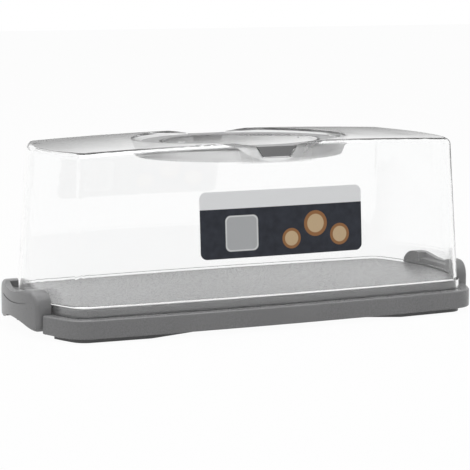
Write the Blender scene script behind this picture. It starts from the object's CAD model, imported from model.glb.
import bpy
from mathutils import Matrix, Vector


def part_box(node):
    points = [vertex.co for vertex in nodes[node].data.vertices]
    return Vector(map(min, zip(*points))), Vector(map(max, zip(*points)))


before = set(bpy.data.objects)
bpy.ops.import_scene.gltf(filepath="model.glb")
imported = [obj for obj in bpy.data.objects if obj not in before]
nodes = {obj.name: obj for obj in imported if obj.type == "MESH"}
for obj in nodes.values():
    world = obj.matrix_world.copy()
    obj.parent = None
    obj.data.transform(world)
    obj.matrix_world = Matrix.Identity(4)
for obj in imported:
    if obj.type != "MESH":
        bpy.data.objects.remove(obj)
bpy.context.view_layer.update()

# Base tray
# One injection moulding in grey polypropylene with a skirt, a ledge and a raised deck.
# The mould leaves a fine satin grain, and the melt leaves faint slanting flow marks on the deck.


def node(tree, kind, inputs=None, **settings):
    made = tree.nodes.new(kind)
    for name, value in settings.items():
        setattr(made, name, value)
    for key, value in (inputs or {}).items():
        if isinstance(value, bpy.types.NodeSocket):
            tree.links.new(value, made.inputs[key])
        else:
            made.inputs[key].default_value = value
    return made


def new_material(name):
    material = bpy.data.materials.new(name)
    material.use_nodes = True
    shader = material.node_tree.nodes["Principled BSDF"]
    return material, material.node_tree, shader


def dress(name, material):
    mesh = nodes[name].data
    mesh.materials.clear()
    mesh.materials.append(material)


def grey_moulding(name, shade, grain_depth, roughness):
    material, tree, shader = new_material(name)
    place = node(tree, "ShaderNodeTexCoord").outputs["Object"]
    cloud = node(tree, "ShaderNodeTexNoise", {"Vector": place, "Scale": 18.0, "Detail": 3.0})
    flow_turn = 0.77
    flow_stretch = (0.25, 0.008, 0.25)
    slant = node(tree, "ShaderNodeMapping", {
        "Vector": place, "Rotation": (0, 0, flow_turn), "Scale": flow_stretch}, vector_type="TEXTURE")
    flow = node(tree, "ShaderNodeTexNoise", {"Vector": slant.outputs[0], "Scale": 1.0, "Detail": 3.0})
    streaks = node(tree, "ShaderNodeMapRange", {
        "Value": flow.outputs["Fac"], "From Min": 0.3, "From Max": 0.7})
    # flow marks show on faces that look up
    flow_share = 0.55
    normal = node(tree, "ShaderNodeNewGeometry").outputs["Normal"]
    facing = node(tree, "ShaderNodeSeparateXYZ", {0: normal})
    upward = node(tree, "ShaderNodeMapRange", {
        "Value": facing.outputs["Z"], "From Min": 0.8, "From Max": 0.95, "To Min": 0.0, "To Max": flow_share})
    marks = node(tree, "ShaderNodeMix", {
        0: upward.outputs[0], 2: cloud.outputs["Fac"], 3: streaks.outputs[0]})
    shade_spread = 0.14
    low = [channel * (1 - shade_spread) for channel in shade]
    high = [channel * (1 + shade_spread) for channel in shade]
    tint = node(tree, "ShaderNodeMix", {0: marks.outputs[0], 6: (*low, 1), 7: (*high, 1)}, data_type="RGBA")
    tree.links.new(tint.outputs[2], shader.inputs["Base Color"])
    grain = node(tree, "ShaderNodeTexNoise", {"Vector": place, "Scale": 1400.0, "Detail": 2.0})
    satin_spread = 0.06
    spread = node(tree, "ShaderNodeMapRange", {
        "Value": grain.outputs["Fac"], "From Min": 0.3, "From Max": 0.7,
        "To Min": roughness - satin_spread, "To Max": roughness + satin_spread})
    tree.links.new(spread.outputs[0], shader.inputs["Roughness"])
    bump = node(tree, "ShaderNodeBump", {
        "Height": grain.outputs["Fac"], "Strength": grain_depth, "Distance": 0.00005})
    tree.links.new(bump.outputs[0], shader.inputs["Normal"])
    shader.inputs["Specular IOR Level"].default_value = 0.5
    return material


dress("base_tray", grey_moulding("base_plastic", (0.208, 0.208, 0.211), 0.35, 0.28))

# Clips
# A bowed grey polypropylene cap at each end, with a thin curved groove across its face.
# Each turns on stub pins between the ears of the tray, and comes a touch lighter from its own mould.

clip_plastic = grey_moulding("clip_plastic", (0.214, 0.214, 0.217), 0.3, 0.32)
dress("left_clip", clip_plastic)
dress("right_clip", clip_plastic)

# Lid
# Clear polystyrene, moulded bright and smooth, so that the cake shows through every wall.
# The polish of the mould gives it slow waves, and it stands loose on the ledge of the tray.

lid_clear, lid_tree, lid_shader = new_material("lid_clear_plastic")
lid_place = node(lid_tree, "ShaderNodeTexCoord").outputs["Object"]
lid_wave = node(lid_tree, "ShaderNodeTexNoise", {"Vector": lid_place, "Scale": 14.0, "Detail": 1.0})
lid_bump = node(lid_tree, "ShaderNodeBump", {
    "Height": lid_wave.outputs["Fac"], "Strength": 0.1, "Distance": 0.0004})
lid_tree.links.new(lid_bump.outputs[0], lid_shader.inputs["Normal"])
lid_shader.inputs["Transmission Weight"].default_value = 1.0
# the sloping wall of the handle basin is left satin by the mould
basin_half_x, basin_half_y = 0.0838, 0.0660
basin_floor_z, basin_rim_z = 0.1217, 0.1345
basin_reach = node(lid_tree, "ShaderNodeVectorMath", {
    0: lid_place, 1: (1 / basin_half_x, 1 / basin_half_y, 0)}, operation="MULTIPLY")
basin_radius = node(lid_tree, "ShaderNodeVectorMath", {0: basin_reach.outputs[0]}, operation="LENGTH")
basin_wall = node(lid_tree, "ShaderNodeMapRange", {
    "Value": basin_radius.outputs["Value"], "From Min": 0.90, "From Max": 0.93})
basin_outside = node(lid_tree, "ShaderNodeMapRange", {
    "Value": basin_radius.outputs["Value"], "From Min": 1.0, "From Max": 1.03,
    "To Min": 1.0, "To Max": 0.0})
lid_height = node(lid_tree, "ShaderNodeSeparateXYZ", {0: lid_place}).outputs["Z"]
basin_under = node(lid_tree, "ShaderNodeMapRange", {
    "Value": lid_height, "From Min": basin_rim_z, "From Max": basin_rim_z + 0.001,
    "To Min": 1.0, "To Max": 0.0})
basin_ring = node(lid_tree, "ShaderNodeMath", {
    0: basin_wall.outputs[0], 1: basin_outside.outputs[0]}, operation="MULTIPLY")
basin_above = node(lid_tree, "ShaderNodeMapRange", {
    "Value": lid_height, "From Min": basin_floor_z - 0.0005, "From Max": basin_floor_z})
basin_height = node(lid_tree, "ShaderNodeMath", {
    0: basin_above.outputs[0], 1: basin_under.outputs[0]}, operation="MULTIPLY")
basin_satin = node(lid_tree, "ShaderNodeMath", {
    0: basin_ring.outputs[0], 1: basin_height.outputs[0]}, operation="MULTIPLY")
lid_gloss_roughness, lid_satin_roughness = 0.015, 0.35
lid_rough = node(lid_tree, "ShaderNodeMapRange", {
    "Value": basin_satin.outputs[0], "To Min": lid_gloss_roughness, "To Max": lid_satin_roughness})
lid_tree.links.new(lid_rough.outputs[0], lid_shader.inputs["Roughness"])
lid_clear_tint, lid_satin_tint = (0.995, 0.997, 0.997, 1), (0.86, 0.86, 0.86, 1)
lid_tint = node(lid_tree, "ShaderNodeMix", {
    0: basin_satin.outputs[0], 6: lid_clear_tint, 7: lid_satin_tint}, data_type="RGBA")
lid_tree.links.new(lid_tint.outputs[2], lid_shader.inputs["Base Color"])
lid_shader.inputs["IOR"].default_value = 1.5
dress("lid_shell", lid_clear)

# Handle halves
# Two flat half ovals in the same grey as the tray, lying in the basin of the lid.
# Each has a finger tab that hangs in a notch of the lid's edge.

handle_plastic = grey_moulding("handle_plastic", (0.21, 0.21, 0.213), 0.3, 0.38)
dress("front_handle", handle_plastic)
dress("rear_handle", handle_plastic)

# Label
# A paper sticker glued to the front wall of the lid, with a pale head over a slate field.
# A pale tile and three round spots are printed on the field.

label_low, label_high = [Vector(corner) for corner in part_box("label")]
label_paper, label_tree, label_shader = new_material("label_paper")
label_place = node(label_tree, "ShaderNodeTexCoord").outputs["Object"]
label_axes = node(label_tree, "ShaderNodeSeparateXYZ", {0: label_place})


def label_mix(mask, below, above):
    return node(label_tree, "ShaderNodeMix", {0: mask, 6: below, 7: above}, data_type="RGBA").outputs[2]


slate_cloud = node(label_tree, "ShaderNodeTexNoise", {"Vector": label_place, "Scale": 160.0, "Detail": 5.0})
slate = label_mix(slate_cloud.outputs["Fac"], (0.006, 0.007, 0.012, 1), (0.040, 0.046, 0.062, 1))
print_blur = 0.0002
field_share = 0.74
head_edge = label_low.z + field_share * (label_high.z - label_low.z)
head_mask = node(label_tree, "ShaderNodeMapRange", {
    "Value": label_axes.outputs["Z"], "From Min": head_edge - print_blur, "From Max": head_edge + print_blur})
label_colour = label_mix(head_mask.outputs[0], slate, (0.90, 0.91, 0.92, 1))


def label_spot(across, up, half_width, half_height, corner):
    middle = (across, 0, label_low.z + up)
    offset = node(label_tree, "ShaderNodeVectorMath", {0: label_place, 1: middle}, operation="SUBTRACT")
    reach = node(label_tree, "ShaderNodeVectorMath", {0: offset.outputs[0]}, operation="ABSOLUTE")
    outside = node(label_tree, "ShaderNodeVectorMath", {
        0: reach.outputs[0], 1: (half_width, 1.0, half_height)}, operation="SUBTRACT")
    beyond = node(label_tree, "ShaderNodeVectorMath", {
        0: outside.outputs[0], 1: (0, 0, 0)}, operation="MAXIMUM")
    distance = node(label_tree, "ShaderNodeVectorMath", {0: beyond.outputs[0]}, operation="LENGTH")
    return node(label_tree, "ShaderNodeMapRange", {
        "Value": distance.outputs["Value"], "From Min": corner - print_blur, "From Max": corner + print_blur,
        "To Min": 1.0, "To Max": 0.0}).outputs[0]


tile_across, tile_up = -0.030, 0.0180
tile_rim = label_spot(tile_across, tile_up, 0.0090, 0.0090, 0.004)
tile_field = label_spot(tile_across, tile_up, 0.0084, 0.0084, 0.0035)
label_colour = label_mix(tile_rim, label_colour, (0.74, 0.75, 0.75, 1))
label_colour = label_mix(tile_field, label_colour, (0.48, 0.49, 0.50, 1))
round_spots = ((0.010, 0.012, 0.0075), (0.030, 0.022, 0.0095), (0.050, 0.013, 0.0080))
spot_middle_share = 0.72
for spot_across, spot_up, spot_radius in round_spots:
    spot_rim = label_spot(spot_across, spot_up, 0, 0, spot_radius)
    spot_middle = label_spot(spot_across, spot_up, 0, 0, spot_radius * spot_middle_share)
    label_colour = label_mix(spot_rim, label_colour, (0.32, 0.15, 0.06, 1))
    label_colour = label_mix(spot_middle, label_colour, (0.62, 0.46, 0.28, 1))
label_tree.links.new(label_colour, label_shader.inputs["Base Color"])
label_shader.inputs["Roughness"].default_value = 0.35
label_shader.inputs["Specular IOR Level"].default_value = 0.25
dress("label", label_paper)

# Studio
# A pale floor that keeps a faint shadow, white all round, one large soft box overhead.
# A dark card that fades upward to white stands behind, and shows only in the gloss of the lid's top.


def shows_white(tree):
    path = node(tree, "ShaderNodeLightPath")
    seen = node(tree, "ShaderNodeMath", {
        0: path.outputs["Is Camera Ray"], 1: path.outputs["Is Glossy Ray"]}, operation="MAXIMUM")
    return node(tree, "ShaderNodeMath", {
        0: seen.outputs[0], 1: path.outputs["Is Transmission Ray"]}, operation="MAXIMUM").outputs[0]


def stage_sheet(name, corners):
    mesh = bpy.data.meshes.new(name)
    mesh.from_pydata(corners, [], [(0, 1, 2, 3)])
    sheet = bpy.data.objects.new(name, mesh)
    bpy.context.scene.collection.objects.link(sheet)
    material, tree, shader = new_material(name + "_paper")
    mesh.materials.append(material)
    return sheet, tree, shader


floor_reach = 6.0
floor_white_share = 0.965
_, floor_tree, floor_shader = stage_sheet("floor", [
    (-floor_reach, -floor_reach, 0), (floor_reach, -floor_reach, 0),
    (floor_reach, floor_reach, 0), (-floor_reach, floor_reach, 0)])
floor_shader.inputs["Base Color"].default_value = (0.58, 0.58, 0.58, 1)
floor_shader.inputs["Roughness"].default_value = 0.9
floor_white = node(floor_tree, "ShaderNodeEmission", {"Color": (1, 1, 1, 1), "Strength": 1.0})
floor_share = node(floor_tree, "ShaderNodeMath", {
    0: shows_white(floor_tree), 1: floor_white_share}, operation="MULTIPLY")
floor_mix = node(floor_tree, "ShaderNodeMixShader", {
    0: floor_share.outputs[0], 1: floor_shader.outputs[0], 2: floor_white.outputs[0]})
floor_tree.links.new(floor_mix.outputs[0], floor_tree.nodes["Material Output"].inputs["Surface"])

card_middle = Vector((0.21, 0.45, 0))
card_along = Vector((0.906, -0.423, 0)) * 0.5
card_fall = 0.15
card_dark, card_light = 0.167, 0.193
card_low = Vector((0, 0, 0.140))
card_high = Vector((0, 0, 0.40))
card_lean = Vector((0, 0, card_fall * card_along.length))
card, card_tree, _ = stage_sheet("gloss_card", [
    card_middle - card_along + card_low + card_lean, card_middle + card_along + card_low - card_lean,
    card_middle + card_along + card_high, card_middle - card_along + card_high])
card_place = node(card_tree, "ShaderNodeTexCoord").outputs["Object"]
card_slope = card_along.normalized() * card_fall + Vector((0, 0, 1))
card_height = node(card_tree, "ShaderNodeVectorMath", {
    0: card_place, 1: card_slope}, operation="DOT_PRODUCT").outputs["Value"]
card_fade = node(card_tree, "ShaderNodeMapRange", {
    "Value": card_height, "From Min": card_dark, "From Max": card_light, "To Min": 0.0, "To Max": 1.0})
card_glow = node(card_tree, "ShaderNodeEmission", {"Color": (1, 1, 1, 1), "Strength": card_fade.outputs[0]})
card_tree.links.new(card_glow.outputs[0], card_tree.nodes["Material Output"].inputs["Surface"])
card.visible_camera = False
card.visible_diffuse = False
card.visible_shadow = False
card.visible_transmission = False

world = bpy.data.worlds.new("studio")
bpy.context.scene.world = world
world.use_nodes = True
sky = world.node_tree
sky_light = sky.nodes["Background"]
sky_light.inputs["Color"].default_value = (1, 1, 1, 1)
sky_light.inputs["Strength"].default_value = 0.30
sky_white = node(sky, "ShaderNodeBackground", {"Color": (1, 1, 1, 1), "Strength": 1.0})
sky_mix = node(sky, "ShaderNodeMixShader", {
    0: shows_white(sky), 1: sky_light.outputs[0], 2: sky_white.outputs[0]})
sky.links.new(sky_mix.outputs[0], sky.nodes["World Output"].inputs["Surface"])

softbox_light = bpy.data.lights.new("softbox", "AREA")
softbox_light.shape = "RECTANGLE"
softbox_light.size = 2.4
softbox_light.size_y = 2.0
softbox_light.energy = 37.0
softbox = bpy.data.objects.new("softbox", softbox_light)
softbox.location = (-0.2, -0.1, 1.6)
softbox_aim = Vector((0, 0, 0.1))
softbox.rotation_euler = (softbox_aim - softbox.location).to_track_quat("-Z", "Y").to_euler()
bpy.context.scene.collection.objects.link(softbox)

# light has to cross many clear walls before it leaves the lid
bpy.context.scene.cycles.max_bounces = 32
bpy.context.scene.cycles.glossy_bounces = 24
bpy.context.scene.cycles.transmission_bounces = 32

# Camera
# Low at the left front corner, as the object was photographed.

camera_data = bpy.data.cameras.new("camera")
camera_data.sensor_width = 36.0
camera_data.lens = 152.12
camera_data.shift_x = -0.01058
camera_data.shift_y = -0.0555
camera = bpy.data.objects.new("camera", camera_data)
camera.location = (-0.6352, -1.3613, 0.2671)
camera_forward = Vector((0.41962, 0.89925, -0.1236))
camera.rotation_euler = camera_forward.to_track_quat("-Z", "Y").to_euler()
bpy.context.scene.collection.objects.link(camera)
bpy.context.scene.camera = camera

bpy.context.scene.view_settings.view_transform = "Standard"
